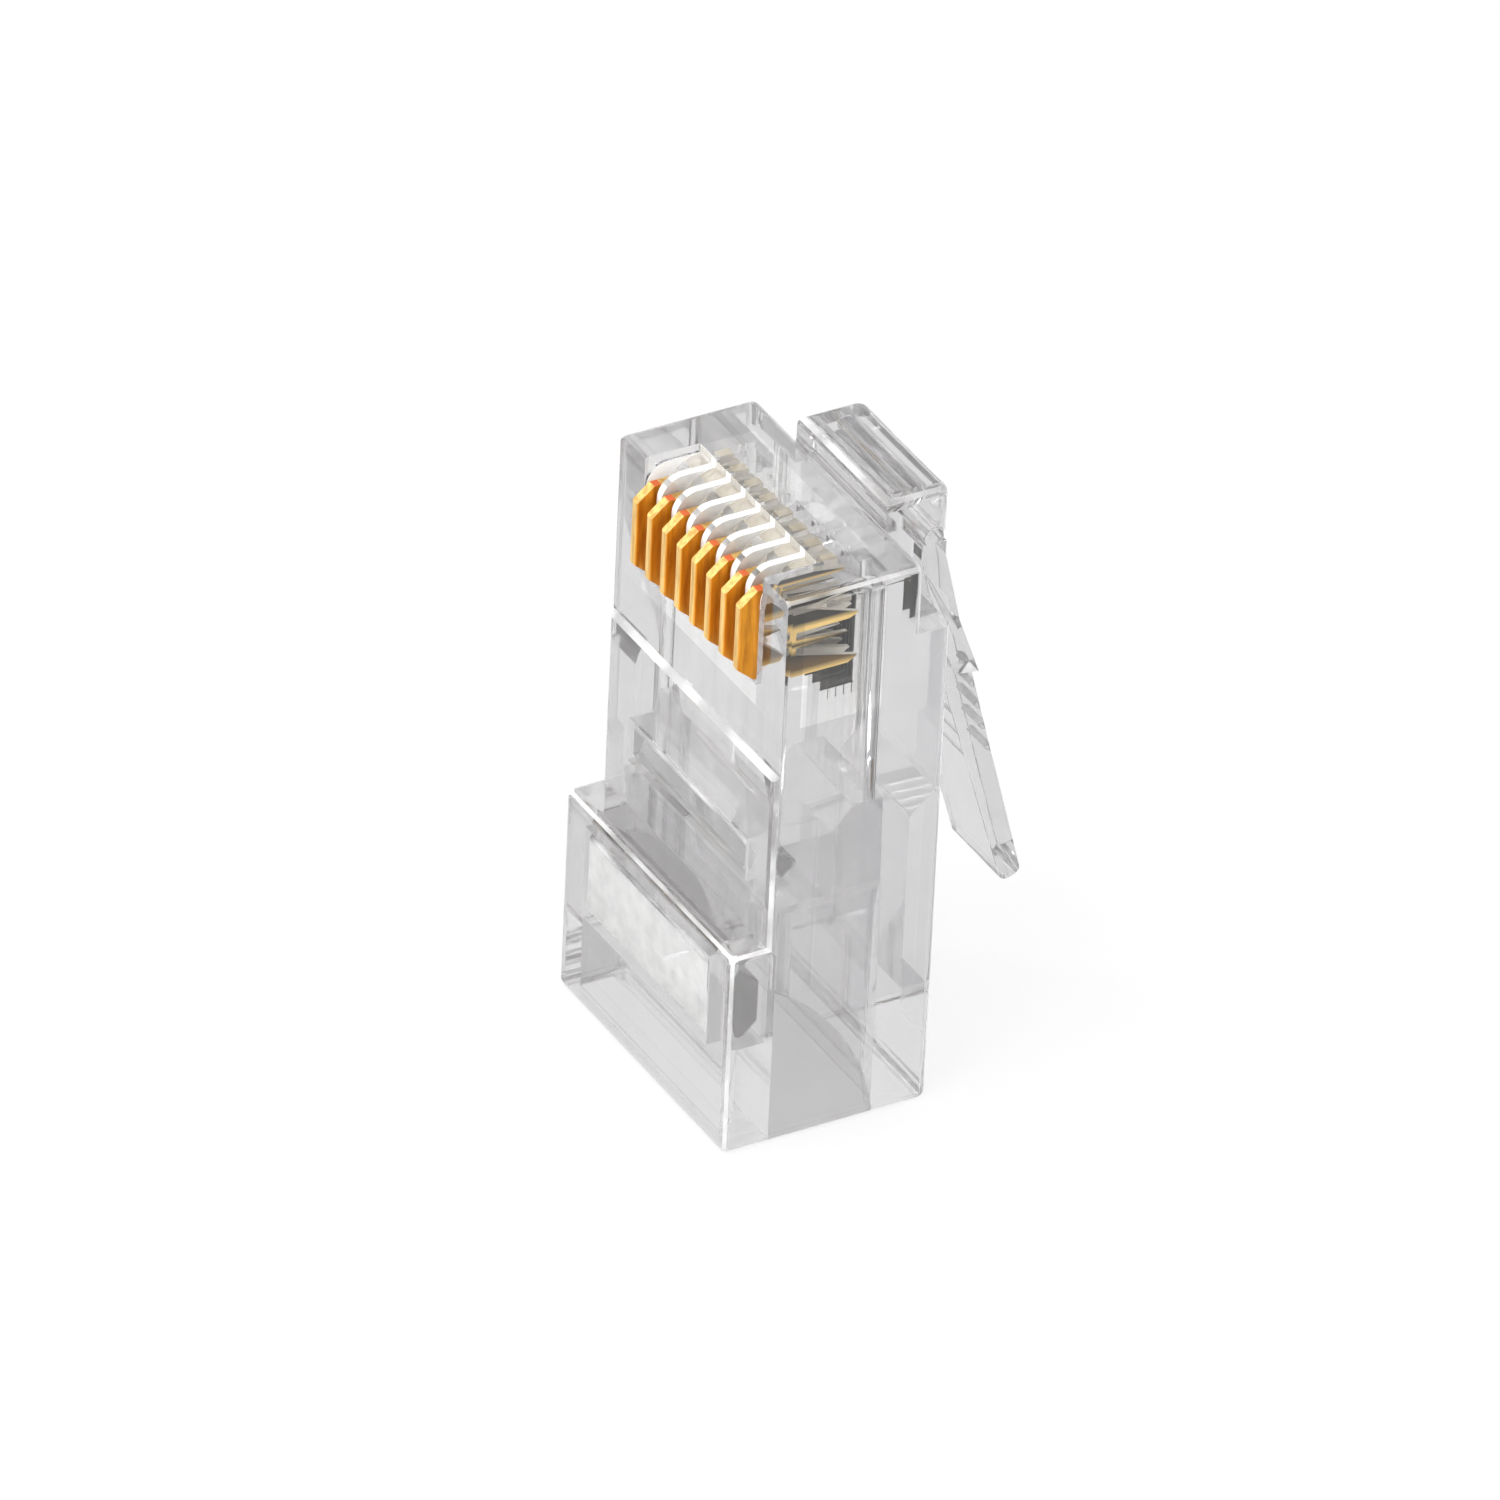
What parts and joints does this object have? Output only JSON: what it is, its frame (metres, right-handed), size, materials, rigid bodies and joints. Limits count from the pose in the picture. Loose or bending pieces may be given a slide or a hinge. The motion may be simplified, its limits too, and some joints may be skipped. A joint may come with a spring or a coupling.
{
  "type": "rj45 modular plug",
  "caption": "Clear modular data plug with a sprung latch, a row of gold-plated blades under a comb nose, and clamping bars over an open cable entry.",
  "frame": {"origin": "middle of the flat rear (cable) face, on the centre line of the cable entry", "axes": "+Z from the cable end to the nose, +X along the row of contacts, +Y towards the latch side, -Y towards the contact side"},
  "size_m": [0.0116, 0.0138, 0.0229],
  "materials": {
    "clear_plastic": "clear moulded polycarbonate, polished",
    "contact_gold": "gold-plated phosphor bronze, stamped"
  },
  "bodies": {
    "housing": {"housing": "clear_plastic"},
    "latch": {"latch": "clear_plastic"},
    "strain_relief_bar": {"strain_relief_bar": "clear_plastic"},
    "anchor_bar": {"anchor_bar": "clear_plastic"},
    "contact_1": {"contact_1": "contact_gold"},
    "contact_2": {"contact_2": "contact_gold"},
    "contact_3": {"contact_3": "contact_gold"},
    "contact_4": {"contact_4": "contact_gold"},
    "contact_5": {"contact_5": "contact_gold"},
    "contact_6": {"contact_6": "contact_gold"},
    "contact_7": {"contact_7": "contact_gold"},
    "contact_8": {"contact_8": "contact_gold"}
  },
  "joints": [
    {"name": "latch_flex", "type": "hinge", "parent": "housing", "child": "latch", "pos_m": [0, 0.0048, 0.021], "axis": [-1, 0, 0], "range_deg": [0, 15], "stiffness_Nm_per_rad": 0.2},
    {"name": "strain_relief_fold", "type": "hinge", "parent": "housing", "child": "strain_relief_bar", "pos_m": [0, -0.00362, 0.007], "axis": [1, 0, 0], "range_deg": [0, 25]},
    {"name": "anchor_fold", "type": "hinge", "parent": "housing", "child": "anchor_bar", "pos_m": [0, -0.00228, 0.01125], "axis": [1, 0, 0], "range_deg": [0, 30]},
    {"name": "crimp_1", "type": "slide", "parent": "housing", "child": "contact_1", "axis": [0, 1, 0], "range_m": [0, 0.00102]},
    {"name": "crimp_2", "type": "slide", "parent": "housing", "child": "contact_2", "axis": [0, 1, 0], "range_m": [0, 0.00102]},
    {"name": "crimp_3", "type": "slide", "parent": "housing", "child": "contact_3", "axis": [0, 1, 0], "range_m": [0, 0.00102]},
    {"name": "crimp_4", "type": "slide", "parent": "housing", "child": "contact_4", "axis": [0, 1, 0], "range_m": [0, 0.00102]},
    {"name": "crimp_5", "type": "slide", "parent": "housing", "child": "contact_5", "axis": [0, 1, 0], "range_m": [0, 0.00102]},
    {"name": "crimp_6", "type": "slide", "parent": "housing", "child": "contact_6", "axis": [0, 1, 0], "range_m": [0, 0.00102]},
    {"name": "crimp_7", "type": "slide", "parent": "housing", "child": "contact_7", "axis": [0, 1, 0], "range_m": [0, 0.00102]},
    {"name": "crimp_8", "type": "slide", "parent": "housing", "child": "contact_8", "axis": [0, 1, 0], "range_m": [0, 0.00102]}
  ]
}
